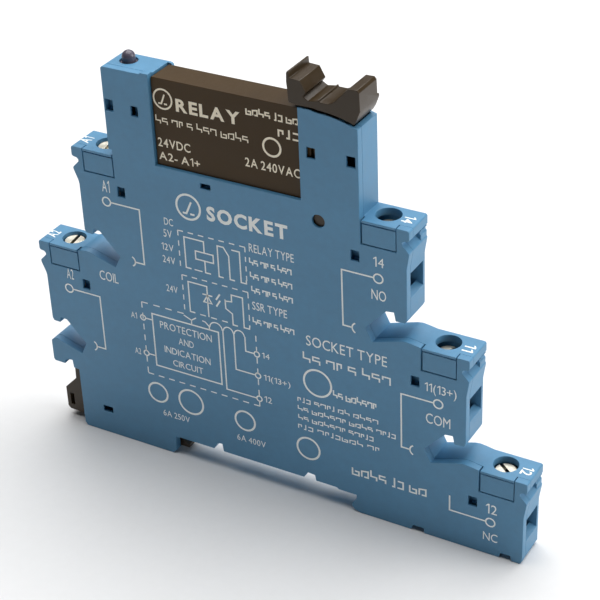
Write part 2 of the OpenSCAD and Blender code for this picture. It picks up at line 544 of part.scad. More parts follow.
// Hook over the relay's top edge, with a lead that clears the rising relay
function hook_profile() = [[relay_x1 - 3.2, relay_z1 + 0.86], [relay_x1 - 0.15, relay_z1 + 0.08],
    [relay_x1 + 0.3, relay_z1 + 0.08], [relay_x1 + 0.3, head_z + 1], [relay_x1 - 3.2, head_z + 1]];
module ejector_lever() color("#2d2622") {
    difference() {
        slab(y_near + 0.05, y_far - 0.05) polygon(head_profile());
        // the handle stands back from the far face
        block([relay_x1 + 4.1, y_far - 0.6, relay_z1 + 2.1], [lev_x1 + 2, y_far + 1, relay_z1 + 6]);
    }
    slab(-relay_t / 2 + 0.2, relay_t / 2 - 0.2) {
        polygon(hook_profile());
        // neck beside the relay's end, blended into the hub
        polygon([[relay_x1 + 0.3, head_z + 1], [relay_x1 + 0.3, pivot[1] + 1.2],
                 [pivot[0] + 1.6, pivot[1]], [relay_x1 + 0.3 + neck_t, pivot[1] + 3],
                 [relay_x1 + 0.3 + neck_t, head_z + 1]]);
        translate(pivot) circle(r = 1.8);
    }
    // forked toe under the relay
    for (s = [-1, 1]) slab(s > 0 ? 1.35 : -fork_y, s > 0 ? fork_y : -1.35)
        polygon([[fork_x + 0.3, z_seat - 0.05], [fork_x, z_seat - 0.4], [fork_x + 0.2, z_seat - 0.9],
                 [pivot[0] - 1.4, pivot[1] - 0.4], [pivot[0], pivot[1]], [pivot[0] - 0.4, pivot[1] + 1.6],
                 [pivot[0] - 2.2, z_seat - 0.2]]);
    translate([pivot[0], 0, pivot[1]]) rotate([90, 0, 0]) cylinder(d = pivot_d, h = body_t - 0.2, center = true);
}

// ---------------------------------------------------------------- rail foot
module din_foot() color("#23201e") difference() {
    slab(foot_y, foot_y + foot_t) {
        polygon([[nose_x, -2.9], [nose_x, -2.2], [nose_x - 1.5, -1.15], [-recess_foot, -1.15],
                 [-recess_foot - 0.2, -0.5], [spring_x0 + spring_l + 1.3, -0.5],
                 [spring_x0 + spring_l + 1.3, spring_z + 0.9], [spring_x0 + spring_l + 0.1, spring_z + 0.9],
                 [spring_x0 + spring_l + 0.1, -0.5], [left_x + 1.2, -0.5], [left_x + 1.2, foot_top],
                 [left_x - 2.1, foot_top], [left_x - 2.2, 4.6], [left_x - 4.7, 2.1], [left_x - 4.7, -2],
                 [left_x - 4.2, -2.5], [left_x - 1.5, -2.6], [left_x - 1, -2.9]]);
    }
    // slot for the screwdriver that pulls the foot
    block([left_x - 3.9, -body_t, -1.4], [left_x - 3.1, body_t, 1]);
}

// Compression spring between the base and the foot's lug
spring_turns = 7;
function ring(p, r, n, a) = [for (i = [0:n - 1])
    [p[0] + r * sin(i * 360 / n), p[1] + r * cos(i * 360 / n) * cos(a), p[2] + r * cos(i * 360 / n) * sin(a)]];
module foot_spring() color("#b9bcc2") {
    seg = 14;
    sides = 6;
    n = spring_turns * seg;
    r = (spring_d - spring_wire) / 2;
    span = spring_l - spring_wire - 0.1;
    pts = [for (i = [0:n]) each ring([spring_wire / 2 + span * i / n, r * cos(i * 360 / seg),
                                      r * sin(i * 360 / seg)], spring_wire / 2, sides, i * 360 / seg)];
    faces = concat([[for (j = [0:sides - 1]) j]],
        [for (i = [0:n - 1], j = [0:sides - 1]) let (a = i * sides, k = (j + 1) % sides)
            [a + j, a + sides + j, a + sides + k, a + k]],
        [[for (j = [sides - 1:-1:0]) n * sides + j]]);
    translate([spring_x0 + 0.05, 0, spring_z]) polyhedron(pts, faces);
}

// ---------------------------------------------------------------- relay
module relay_case() color("#2b2421") difference() {
    slab(-relay_t / 2, relay_t / 2) polygon(concat(
        [[relay_x0, relay_z0]], arc([relay_x0 + 0.3, relay_z1 - 0.3], 0.3, 180, 90, 3),
        arc([relay_x1 - 0.3, relay_z1 - 0.3], 0.3, 90, 0, 3), [[relay_x1, relay_z0]]));
    block([relay_x0 + case_t, -relay_t / 2 + case_t, relay_z0 - 1],
          [relay_x1 - case_t, relay_t / 2 - case_t, relay_z1 - case_t]);
}
base_h = 1.2;
module relay_base() color("#332c28") difference() {
    block([relay_x0 + case_t + 0.03, -relay_t / 2 + case_t + 0.03, relay_z0 + 0.1],
          [relay_x1 - case_t - 0.03, relay_t / 2 - case_t - 0.03, relay_z0 + 0.1 + base_h]);
    for (x = pins_x) block([x - pin_w / 2, -pin_t / 2, relay_z0 - 1], [x + pin_w / 2, pin_t / 2, relay_z0 + 3]);
}
// Flat pins with wedge tips
module relay_pins() color("#d9d6cc") for (x = pins_x) slab(-pin_t / 2, pin_t / 2)
    polygon([[x - pin_w / 2, relay_z0 + 3], [x - pin_w / 2, relay_z0 - pin_l + 0.5], [x - 0.25, relay_z0 - pin_l],
             [x + 0.25, relay_z0 - pin_l], [x + pin_w / 2, relay_z0 - pin_l + 0.5], [x + pin_w / 2, relay_z0 + 3]]);
relay_board_y = pin_t / 2;
module relay_board() color("#2f6b3c")
    block([relay_x0 + 1.2, relay_board_y, relay_z0 + base_h + 0.3],
          [relay_x1 - 1.2, relay_board_y + board_t, relay_z1 - 1.2]);
module relay_coupler() color("#e8e6e0") {
    block([relay_x0 + 8, relay_board_y - 1.9, relay_z0 + 6], [relay_x0 + 12.6, relay_board_y - 0.2, relay_z0 + 10.4]);
    for (x = [9, 11.6], z = [5.2, 10.4])
        block([relay_x0 + x - 0.3, relay_board_y - 0.7, relay_z0 + z], [relay_x0 + x + 0.3, relay_board_y, relay_z0 + z + 0.8]);
}
module relay_triac() color("#1d1d1f") {
    block([relay_x1 - 9.4, relay_board_y - 2.0, relay_z0 + 5.6], [relay_x1 - 3, relay_board_y - 0.1, relay_z0 + 12]);
    block([relay_x1 - 8.8, relay_board_y - 0.7, relay_z0 + 12], [relay_x1 - 3.6, relay_board_y, relay_z0 + 13.2]);
}
module relay_resistors() color("#8fb3c9") for (x = [3, 5.6])
    block([relay_x0 + x - 0.7, relay_board_y - 0.6, relay_z0 + 6.5], [relay_x0 + x + 0.7, relay_board_y, relay_z0 + 9.7]);

housing_base();
housing_cover();
status_led();
circuit_board();
board_rectifier();
board_capacitor();
board_suppressor();
board_resistors();
strip_a1();
strip_a2();
strip_14();
strip_11();
strip_12();
coil_contact_a1();
coil_contact_a2();
clamp_frame(TERMS[0]);  // clamp_a1
clamp_frame(TERMS[1]);  // clamp_a2
clamp_frame(TERMS[2]);  // clamp_14
clamp_frame(TERMS[3]);  // clamp_11
clamp_frame(TERMS[4]);  // clamp_12
pressure_plate(TERMS[0]);  // plate_a1
pressure_plate(TERMS[1]);  // plate_a2
pressure_plate(TERMS[2]);  // plate_14
pressure_plate(TERMS[3]);  // plate_11
pressure_plate(TERMS[4]);  // plate_12
clamp_screw(TERMS[0]);  // screw_a1
clamp_screw(TERMS[1]);  // screw_a2
clamp_screw(TERMS[2]);  // screw_14
clamp_screw(TERMS[3]);  // screw_11
clamp_screw(TERMS[4]);  // screw_12
ejector_lever();
din_foot();
foot_spring();
relay_case();
relay_base();
relay_pins();
relay_board();
relay_coupler();
relay_triac();
relay_resistors();
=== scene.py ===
"""Slim plug-in relay module for a 35 mm rail: mouldings, finishes, printed marks and studio.

Every length is in metres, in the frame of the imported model: X runs along the module, Y along the
rail with the printed face at -Y, and Z away from the rail. Sizes written in millimetres are
multiplied by MM.
"""
import json
import logging
import math
from dataclasses import dataclass
from enum import Enum

import bmesh
import bpy
import numpy as np
from mathutils import Matrix, Vector

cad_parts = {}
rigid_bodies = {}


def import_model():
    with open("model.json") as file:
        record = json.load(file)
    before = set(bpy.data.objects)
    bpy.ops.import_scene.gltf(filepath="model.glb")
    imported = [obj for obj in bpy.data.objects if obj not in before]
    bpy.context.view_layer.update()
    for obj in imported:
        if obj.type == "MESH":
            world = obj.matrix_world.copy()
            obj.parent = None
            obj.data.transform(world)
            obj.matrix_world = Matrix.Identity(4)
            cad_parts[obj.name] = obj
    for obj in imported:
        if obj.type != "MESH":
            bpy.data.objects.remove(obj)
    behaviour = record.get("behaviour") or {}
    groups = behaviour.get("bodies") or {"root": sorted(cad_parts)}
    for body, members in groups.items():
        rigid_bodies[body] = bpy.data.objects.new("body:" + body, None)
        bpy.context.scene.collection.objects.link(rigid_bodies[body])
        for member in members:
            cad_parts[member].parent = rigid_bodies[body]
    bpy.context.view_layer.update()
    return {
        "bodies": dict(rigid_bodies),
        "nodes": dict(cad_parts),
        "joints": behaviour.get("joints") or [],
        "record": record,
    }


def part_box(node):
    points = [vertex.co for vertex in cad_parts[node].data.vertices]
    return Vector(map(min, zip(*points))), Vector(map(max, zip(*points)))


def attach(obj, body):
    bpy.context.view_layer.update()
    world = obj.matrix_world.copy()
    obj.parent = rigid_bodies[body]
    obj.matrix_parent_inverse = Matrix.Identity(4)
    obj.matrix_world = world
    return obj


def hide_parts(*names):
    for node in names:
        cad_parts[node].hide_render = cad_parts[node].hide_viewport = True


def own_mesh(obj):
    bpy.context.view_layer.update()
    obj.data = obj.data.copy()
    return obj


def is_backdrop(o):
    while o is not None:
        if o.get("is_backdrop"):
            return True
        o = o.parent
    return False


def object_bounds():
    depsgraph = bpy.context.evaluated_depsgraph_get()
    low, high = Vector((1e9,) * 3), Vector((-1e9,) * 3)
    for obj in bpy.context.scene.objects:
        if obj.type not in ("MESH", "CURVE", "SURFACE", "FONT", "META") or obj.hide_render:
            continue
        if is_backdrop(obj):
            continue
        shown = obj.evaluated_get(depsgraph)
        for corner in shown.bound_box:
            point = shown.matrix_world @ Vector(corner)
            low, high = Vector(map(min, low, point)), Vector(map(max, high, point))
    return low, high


MM = 0.001
LOG = logging.getLogger("relay_module")
Colour = tuple[float, float, float]
Place = tuple[float, float, float]
Point = tuple[float, float]
Output = bpy.types.NodeSocket
Signal = Output | float


def added(name: str, data: bpy.types.ID) -> bpy.types.Object:
    """Puts a new object with this data into the scene, at the origin."""
    obj = bpy.data.objects.new(name, data)
    bpy.context.scene.collection.objects.link(obj)
    return obj


# ------------------------------------------------------------------------------ node graphs
class Graph:
    """Node tree of one material, with short calls for the nodes that the finishes share."""

    def __init__(self, name: str) -> None:
        """Starts a material on Object coordinates.

        Args:
            name: The material's name.
        """
        self.material = bpy.data.materials.new(name)
        self.material.use_nodes = True
        self.tree = self.material.node_tree
        self.shader = next(n for n in self.tree.nodes if n.type == "BSDF_PRINCIPLED")
        self.place = self.tree.nodes.new("ShaderNodeTexCoord").outputs["Object"]

    def node(self, kind: str, inputs: dict | None = None, **settings) -> bpy.types.Node:
        """Adds a node.

        Args:
            kind: The node's type, without its ShaderNode prefix.
            inputs: Socket name or number to a value, or to an output that is linked to it.
            **settings: Properties of the node.

        Returns:
            The new node.
        """
        made = self.tree.nodes.new("ShaderNode" + kind)
        for key, value in settings.items():
            setattr(made, key, value)
        for key, value in (inputs or {}).items():
            if isinstance(value, bpy.types.NodeSocket):
                self.tree.links.new(value, made.inputs[key])
            else:
                made.inputs[key].default_value = value
        return made

    def noise(self, size: float, detail: float = 2.0, rough: float = 0.5, at: Output | None = None) -> Output:
        """Noise whose lumps are about the given size, in metres."""
        inputs = {"Vector": at or self.place, "Scale": 1 / size, "Detail": detail, "Roughness": rough}
        return self.node("TexNoise", inputs).outputs[0]

    def stretched(self, x: float, y: float, z: float, centre: Place = (0.0, 0.0, 0.0)) -> Output:
        """Object coordinates moved to a centre and then scaled along each axis."""
        moved = self.node("VectorMath", {0: self.place, 1: centre}, operation="SUBTRACT").outputs[0]
        return self.node("VectorMath", {0: moved, 1: (x, y, z)}, operation="MULTIPLY").outputs[0]

    def math(self, kind: str, a: Signal, b: Signal = 0.0) -> Output:
        """One sum on two values or outputs."""
        return self.node("Math", {0: a, 1: b}, operation=kind).outputs[0]

    def levels(self, value: Output, low: float, high: float, to_low: float, to_high: float) -> Output:
        """Maps a value from one range to another, clamped at both ends."""
        inputs = {0: value, 1: low, 2: high, 3: to_low, 4: to_high}
        return self.node("MapRange", inputs, clamp=True).outputs[0]

    def blend(self, share: Signal, low: Output | Colour, high: Output | Colour, kind: str = "MIX") -> Output:
        """Mixes two colours by a share.

        Args:
            share: How much of the second colour is laid on the first.
            low: The first colour.
            high: The second colour.
            kind: The way of mixing.

        Returns:
            The mixed colour's output.
        """
        mix = self.node("Mix", data_type="RGBA", blend_type=kind)
        for number, value in ((0, share), (6, low), (7, high)):
            if isinstance(value, bpy.types.NodeSocket):
                self.tree.links.new(value, mix.inputs[number])
            else:
                mix.inputs[number].default_value = value if number == 0 else (*value, 1.0)
        return mix.outputs[2]

    def bump(self, height: Output, depth: float, under: Output | None = None) -> Output:
        """Bump of a height from 0 to 1.

        Args:
            height: The height's output.
            depth: What a height of 1 stands for, in metres.
            under: The normal that the bump is laid on.

        Returns:
            The new normal's output.
        """
        inputs = {"Height": height, "Distance": depth, "Strength": 1.0}
        if under is not None:
            inputs["Normal"] = under
        return self.node("Bump", inputs).outputs[0]

    def finish(self, colour: Output, rough: Signal, normal: Output, **constants: float) -> bpy.types.Material:
        """Wires the shader and returns the material.

        Args:
            colour: The base colour's output.
            rough: The roughness's output or value.
            normal: The normal's output.
            **constants: Shader sockets with one value all over, with _ for a space.

        Returns:
            The finished material.
        """
        self.tree.links.new(colour, self.shader.inputs["Base Color"])
        if isinstance(rough, bpy.types.NodeSocket):
            self.tree.links.new(rough, self.shader.inputs["Roughness"])
        else:
            self.shader.inputs["Roughness"].default_value = rough
        self.tree.links.new(normal, self.shader.inputs["Normal"])
        for key, value in constants.items():
            self.shader.inputs[key.replace("_", " ")].default_value = value
        return self.material


# ---------------------------------------------------------------------------------- finishes
@dataclass(frozen=True)
class Moulded:
    """Injection-moulded plastic: spark-eroded grain, soft flow marks and a dusting of specks."""

    name: str
    colour: Colour
    shade: float = 0.86
    rough: float = 0.42
    grain: float = 0.10 * MM
    grain_depth: float = 0.006 * MM
    specular: float = 0.5

    def dress(self) -> bpy.types.Material:
        """Builds the material: the colour drifts between two shades along the flow.

        Returns:
            The material.
        """
        g = Graph(self.name)
        flow = g.noise(9 * MM, 3, 0.55, g.stretched(0.5, 1.0, 1.0))
        cloud = g.noise(1.6 * MM, 4, 0.6)
        dark = tuple(c * self.shade for c in self.colour)
        tone = g.blend(g.levels(flow, 0.32, 0.68, 0, 1), dark, self.colour)
        fine = g.levels(cloud, 0.3, 0.7, 0.95, 1.04)
        tone = g.blend(1.0, tone, g.node("CombineColor", {0: fine, 1: fine, 2: fine}).outputs[0], "MULTIPLY")
        speck = g.levels(g.noise(0.28 * MM, 2, 0.7), 0.70, 0.78, 0, 0.25)
        tone = g.blend(speck, tone, tuple(min(1.0, c * 1.5 + 0.05) for c in self.colour))
        rough = g.levels(cloud, 0.25, 0.75, self.rough - 0.06, self.rough + 0.08)
        grain = g.noise(self.grain, 3, 0.6)
        swell = g.bump(flow, 0.02 * MM)
        return g.finish(tone, rough, g.bump(grain, self.grain_depth, swell),
                        Specular_IOR_Level=self.specular)


@dataclass(frozen=True)
class Turned:
    """Plated metal turned round an upright axis: rings, stains and a few scratches."""

    name: str
    colour: Colour
    centre: Place
    rough: float = 0.3

    def dress(self) -> bpy.types.Material:
        """Builds the material: the rings are a sine of the distance from the axis.

        Returns:
            The material.
        """
        g = Graph(self.name)
        flat = g.stretched(1.0, 1.0, 0.0, self.centre)
        away = g.node("VectorMath", {0: flat}, operation="LENGTH").outputs[1]
        wander = g.math("MULTIPLY", g.noise(0.5 * MM, 2), 1.5)
        rings = g.math("SINE", g.math("ADD", g.math("MULTIPLY", away, 2 * math.pi / (0.09 * MM)), wander))
        stain = g.noise(0.9 * MM, 4, 0.65)
        dull = tuple(c * 0.72 for c in self.colour)
        tone = g.blend(g.levels(stain, 0.35, 0.65, 0, 1), dull, self.colour)
        rough = g.levels(stain, 0.3, 0.7, self.rough + 0.12, self.rough - 0.04)
        scratch = g.noise(0.12 * MM, 2, 0.5, g.stretched(1.0, 0.12, 1.0))
        normal = g.bump(scratch, 0.004 * MM, g.bump(rings, 0.003 * MM))
        return g.finish(tone, rough, normal, Metallic=1.0)


@dataclass(frozen=True)
class Stamped:
    """Rolled and stamped sheet metal: rolling lines along the module and a dull plating."""

    name: str
    colour: Colour
    rough: float = 0.32

    def dress(self) -> bpy.types.Material:
        """Builds the material: noise drawn out along the rolling direction.

        Returns:
            The material.
        """
        g = Graph(self.name)
        lines = g.noise(0.12 * MM, 3, 0.6, g.stretched(0.06, 1.0, 1.0))
        cloud = g.noise(1.4 * MM, 4, 0.6)
        dull = tuple(c * 0.7 for c in self.colour)
        tone = g.blend(g.levels(cloud, 0.35, 0.68, 0, 1), dull, self.colour)
        rough = g.levels(lines, 0.3, 0.7, self.rough - 0.05, self.rough + 0.15)
        return g.finish(tone, rough, g.bump(lines, 0.004 * MM), Metallic=1.0)


@dataclass(frozen=True)
class SmokedLens:
    """Smoked clear plastic of the indicator, nearly black with a plum cast."""

    name: str
    colour: Colour

    def dress(self) -> bpy.types.Material:
        """Builds the material: streaks of dye in a glossy, slightly clear body.

        Returns:
            The material.
        """
        g = Graph(self.name)
        dye = g.noise(0.8 * MM, 3, 0.6)
        deep = tuple(c * 0.45 for c in self.colour)
        tone = g.blend(g.levels(dye, 0.3, 0.7, 0, 1), deep, self.colour)
        rough = g.levels(dye, 0.2, 0.8, 0.07, 0.16)
        return g.finish(tone, rough, g.bump(dye, 0.004 * MM), Coat_Weight=0.6, Coat_Roughness=0.06, IOR=1.5)


@dataclass(frozen=True)
class SolderMask:
    """Green glass-fibre board: weave under the mask and copper tracks showing through."""

    name: str
    colour: Colour

    def dress(self) -> bpy.types.Material:
        """Builds the material: a fine weave and broad tracks, both from the board's own place.

        Returns:
            The material.
        """
        g = Graph(self.name)
        weave = g.node("TexWave", {"Vector": g.place, "Scale": 1 / (5 * MM), "Distortion": 1.5},
                       wave_type="BANDS", bands_direction="Z").outputs[1]
        bricks = g.node("TexBrick", {"Vector": g.stretched(1.0, 0.0, 1.0), "Scale": 1 / (3 * MM),
                                     "Mortar Size": 0.06}).outputs[1]
        light = tuple(min(1.0, c * 1.7) for c in self.colour)
        tone = g.blend(g.levels(bricks, 0, 1, 0, 0.8), self.colour, light)
        tone = g.blend(g.levels(weave, 0, 1, 0, 0.18), tone, tuple(c * 0.5 for c in self.colour))
        return g.finish(tone, g.levels(weave, 0, 1, 0.28, 0.4), g.bump(bricks, 0.02 * MM), Coat_Weight=0.3)


@dataclass(frozen=True)
class Printed:
    """Pad-printed ink with thin spots, a little raised at its edges."""

    name: str
    colour: Colour
    under: Colour

    def dress(self) -> bpy.types.Material:
        """Builds the material: the plastic's colour shows where the ink is thin.

        Returns:
            The material.
        """
        g = Graph(self.name)
        thin = g.noise(0.22 * MM, 4, 0.7)
        tone = g.blend(g.levels(thin, 0.58, 0.75, 0, 0.55), self.colour, self.under)
        return g.finish(tone, g.levels(thin, 0.3, 0.7, 0.5, 0.7), g.bump(thin, 0.004 * MM))


@dataclass(frozen=True)
class Lacquered:
    """Dipped or lacquered body of a small component, glossy with a faint orange peel."""

    name: str
    colour: Colour
    gloss: float = 0.3

    def dress(self) -> bpy.types.Material:
        """Builds the material: cloudy colour under a clear coat.

        Returns:
            The material.
        """
        g = Graph(self.name)
        cloud = g.noise(0.7 * MM, 3, 0.6)
        tone = g.blend(g.levels(cloud, 0.3, 0.7, 0, 1), tuple(c * 0.75 for c in self.colour), self.colour)
        peel = g.noise(0.25 * MM, 2, 0.5)
        return g.finish(tone, g.levels(cloud, 0.2, 0.8, 0.3, 0.5), g.bump(peel, 0.008 * MM),
                        Coat_Weight=self.gloss)


@dataclass(frozen=True)
class Paper:
    """Seamless studio paper of the floor."""

    name: str
    colour: Colour

    def dress(self) -> bpy.types.Material:
        """Builds the material: a faint tooth on an even pale sheet.

        Returns:
            The material.
        """
        g = Graph(self.name)
        tooth = g.noise(1.5 * MM, 3, 0.6)
        tone = g.blend(g.levels(tooth, 0.3, 0.7, 0, 1), tuple(c * 0.985 for c in self.colour), self.colour)
        return g.finish(tone, 0.9, g.bump(tooth, 0.01 * MM), Specular_IOR_Level=0.1)


class Finish(Enum):
    """Finishes of the module's pieces."""

    BLUE = Moulded("blue_polyamide", (0.088, 0.262, 0.440), 0.93, 0.44)
    RELAY = Moulded("relay_brown_black", (0.056, 0.030, 0.007), 0.86, 0.42, 0.13 * MM, 0.008 * MM, 0.22)
    BLACK = Moulded("lever_brown_black", (0.042, 0.025, 0.009), 0.85, 0.32, 0.12 * MM, 0.008 * MM, 0.36)
    LENS = SmokedLens("smoked_lens", (0.022, 0.012, 0.015))
    BOARD = SolderMask("solder_mask", (0.020, 0.130, 0.045))
    EPOXY = Lacquered("moulded_epoxy", (0.022, 0.022, 0.024), 0.1)
    WHITE = Lacquered("white_epoxy", (0.70, 0.68, 0.62), 0.1)
    AMBER = Lacquered("dipped_film", (0.52, 0.26, 0.05), 0.6)
    RESISTOR = Lacquered("blue_lacquer", (0.17, 0.36, 0.50), 0.5)
    BRASS = Stamped("contact_strip", (0.78, 0.52, 0.28))
    ZINC = Stamped("zinc_plate", (0.66, 0.67, 0.69))
    WIRE = Stamped("drawn_wire", (0.60, 0.61, 0.63), 0.28)
    TIN = Stamped("tinned_pin", (0.74, 0.71, 0.64), 0.3)
    PALE_INK = Printed("pale_ink", (0.92, 0.95, 0.93), (0.30, 0.50, 0.62))
    WARM_INK = Printed("warm_ink", (0.95, 0.86, 0.68), (0.30, 0.22, 0.14))
    PAPER = Paper("studio_paper", (0.80, 0.80, 0.80))

    def material(self) -> bpy.types.Material:
        """This finish's material, made on its first use."""
        return bpy.data.materials.get(self.value.name) or self.value.dress()


def dressed(obj: bpy.types.Object, material: bpy.types.Material) -> None:
    """Gives an object one material in place of those it has.

    Args:
        obj: The piece or node.
        material: Its new material.
    """
    obj.data.materials.clear()
    obj.data.materials.append(material)
    LOG.info("%s: %s", obj.name, material.name)


# ------------------------------------------------------------------------------- flat shapes
# Gaps between letters and between words, as shares of a letter's size, in print and in unreadable rows
LETTER_GAP, WORD_GAP = 0.105, 0.115
STROKE_GAP, ROW_WORD_GAP = 0.36, 0.45
# Figure one with its flag, and the strokes of unreadable rows, both in a letter's own square
ONE = np.array([[0.17, 0.0], [0.265, 0.0], [0.265, 0.72], [0.17, 0.72],
                [0.17, 0.72], [0.0, 0.585], [0.0, 0.50], [0.17, 0.60]])
GREEKING = (((0, 0.4), (0, 0.7), (0.8, 0.7), (0.8, 0)), ((0, 0), (0.7, 0), (0.7, 0.7), (0.05, 0.7)),
            ((0, 1), (0, 0.36), (0.7, 0.36), (0.7, 0)), ((0, 0), (0, 0.7), (0.45, 0.7), (0.45, 0.3)),
            ((0, 0.7), (0, 0), (0.8, 0), (0.8, 0.4), (0.3, 0.4)),
            ((0.75, 0.7), (0, 0.7), (0, 0.35), (0.75, 0.35), (0.75, 0)),
            ((0, 0), (0.3, 0), (0.3, 0.95)), ((0, 0), (0, 0.6), (0.8, 0.7), (0.8, 0.05), (0.3, 0.05)))


def glyph(letter: str, weight: float) -> tuple[np.ndarray, list[list[int]]]:
    """One character of the plain typeface as flat points and faces.

    Args:
        letter: The character.
        weight: How much its outline swells.

    Returns:
        The points, on a baseline at 0, and the faces that number them.
    """
    curve = bpy.data.curves.new("type", "FONT")
    curve.body, curve.offset, curve.resolution_u = letter, weight, 3
    holder = added("type", curve)
    mesh = bpy.data.meshes.new_from_object(holder.evaluated_get(bpy.context.evaluated_depsgraph_get()))
    co = np.zeros(len(mesh.vertices) * 3)
    mesh.vertices.foreach_get("co", co)
    faces = [list(face.vertices) for face in mesh.polygons]
    bpy.data.objects.remove(holder)
    bpy.data.curves.remove(curve)
    bpy.data.meshes.remove(mesh)
    return co.reshape(-1, 3)[:, :2], faces


class Ink:
    """Flat marks on one face, gathered as plane shapes and then given the ink's thickness.

    Positions are in millimetres on the face: across it to the right, and up it.
    """

    def __init__(self) -> None:
        """Starts with no marks."""
        self.points: list[np.ndarray] = []
        self.faces: list[list[int]] = []
        self.count = 0

    def add(self, points: np.ndarray, faces: list[list[int]]) -> None:
        """Adds a shape.

        Args:
            points: Its corners, as rows of two numbers.
            faces: The faces, which number the corners.
        """
        self.faces += [[i + self.count for i in face] for face in faces]
        self.points.append(points)
        self.count += len(points)

    def line(self, points: list[Point], width: float = 0.26, closed: bool = False) -> None:
        """A stroke of even width: each point is shifted both ways along its mitre, which is the
        sum of the two neighbouring normals divided by one plus their dot product.

        Args:
            points: The corners that the stroke passes.
            width: The stroke's width.
            closed: True to join its ends.
        """
        p = np.array(points, float)
        step = np.roll(p, -1, 0) - p
        length = np.linalg.norm(step, axis=1, keepdims=True).clip(1e-9)
        normal = np.stack([-step[:, 1], step[:, 0]], 1) / length
        before = np.roll(normal, 1, 0)
        if not closed:
            before[0], normal[-1] = normal[0], before[-1]
        mitre = (before + normal) / (1 + np.sum(before * normal, 1, keepdims=True)).clip(0.25)
        n = len(p)
        rim = np.concatenate([p + mitre * width / 2, p - mitre * width / 2])
        self.add(rim, [[i, n + i, n + (i + 1) % n, (i + 1) % n] for i in range(n if closed else n - 1)])

    def arc(self, centre: Point, radius: float, start: float, end: float, width: float = 0.26,
            steps: int = 16) -> None:
        """A stroke along a circle, whose points are the centre plus the radius times (cos, sin).

        Args:
            centre: The circle's centre.
            radius: The radius of the stroke's middle.
            start: Where the stroke starts, in degrees; 0 is right and 90 is up.
            end: Where it ends.
            width: Its width.
            steps: How many straight pieces it has.
        """
        turn = np.radians(np.linspace(start, end, steps + 1))
        p = np.array(centre) + radius * np.stack([np.cos(turn), np.sin(turn)], 1)
        self.line([tuple(q) for q in p], width)

    def ring(self, centre: Point, radius: float, width: float = 0.28, steps: int = 40) -> None:
        """A closed circle.

        Args:
            centre: The circle's centre.
            radius: The radius of the stroke's middle.
            width: The stroke's width.
            steps: How many straight pieces it has.
        """
        turn = np.radians(np.arange(steps) * 360 / steps)
        p = np.array(centre) + radius * np.stack([np.cos(turn), np.sin(turn)], 1)
        self.line([tuple(q) for q in p], width, True)

    def dashes(self, corners: list[Point], dash: float, gap: float, width: float = 0.2) -> None:
        """Dashes along each side of a path, spread so that every side starts and ends with one.

        Args:
            corners: The path's corners.
            dash: About how long a dash is.
            gap: About how long the gap after it is.
            width: The dashes' width.
        """
        for a, b in zip(corners, corners[1:]):
            a, b = np.array(a, float), np.array(b, float)
            length = float(np.linalg.norm(b - a))
            number = max(1, round((length + gap) / (dash + gap)))
            share = dash / (number * (dash + gap) - gap)
            for start in np.linspace(0, 1 - share, number):
                self.line([tuple(a + (b - a) * start), tuple(a + (b - a) * (start + share))], width)

    def text(self, words: str, left: float, low: float, right: float, high: float,
             weight: float = 0.0) -> None:
        """Plain capitals and figures, evenly spaced and stretched to fill a box.

        Args:
            words: What is printed.
            left: The box's left side.
            low: The baseline.
            right: The box's right side.
            high: The top of the capitals.
            weight: How much each stroke swells, as a share of the letter's size.
        """
        place, shapes, cap = 0.0, [], 0.0
        for letter in words:
            if letter == " ":
                place += LETTER_GAP + WORD_GAP
                continue
            flat, faces = (ONE, [[0, 1, 2, 3], [4, 5, 6, 7]]) if letter == "1" else glyph(letter, weight)
            shapes.append((flat + [place - flat[:, 0].min(), 0.0], faces))
            place += float(np.ptp(flat[:, 0])) + LETTER_GAP
            if letter not in "()+-":
                cap = max(cap, float(flat[:, 1].max()))
        scale = np.array([(right - left) / (place - LETTER_GAP), (high - low) / cap])
        for flat, faces in shapes:
            self.add(flat * scale + [left, low], faces)

    def greeked(self, left: float, low: float, right: float, high: float, words: list[int],
                weight: float = 0.14) -> None:
        """A row of unreadable letter-like strokes that stands for words that are left out.

        Args:
            left: The row's left end.
            low: The row's lower edge.
            right: The row's right end.
            high: The row's upper edge.
            words: How many strokes each word has.
            weight: The strokes' width, as a share of the row's height.
        """
        place, number, tall, row = 0.0, 0, high - low, []
        for word in words:
            for _ in range(word):
                shape = GREEKING[(number * 3 + word) % len(GREEKING)]
                row.append([(place + x, y) for x, y in shape])
                place, number = place + max(x for x, _ in shape) + STROKE_GAP, number + 1
            place += ROW_WORD_GAP
        pitch = (right - left) / (place - STROKE_GAP - ROW_WORD_GAP)
        for shape in row:
            self.line([(left + x * pitch, low + y * tall) for x, y in shape], weight * tall)

    def piece(self, name: str, face: "Face", material: bpy.types.Material, body: str) -> None:
        """Makes the marks one raised piece that rides on a body.

        Args:
            name: The piece's name.
            face: The face that carries the marks.
            material: The ink.
            body: The body that the piece moves with.
        """
        flat = np.concatenate(self.points) * MM
        mesh = bpy.data.meshes.new(name)
        mesh.from_pydata(face.placed(flat).tolist(), [], self.faces)
        obj = added(name, mesh)
        bm = bmesh.new()
        bm.from_mesh(mesh)
        bmesh.ops.remove_doubles(bm, verts=bm.verts, dist=1e-7)
        wanted = Vector(face.outward)
        bm.normal_update()
        bmesh.ops.reverse_faces(bm, faces=[f for f in bm.faces if f.normal.dot(wanted) < 0])
        bm.to_mesh(mesh)
        bm.free()
        thick = obj.modifiers.new("ink", "SOLIDIFY")
        thick.thickness, thick.offset = face.ink * MM, -1.0
        dressed(obj, material)
        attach(obj, body)
        LOG.info("%s: %d marks' faces on %s", name, len(self.faces), body)


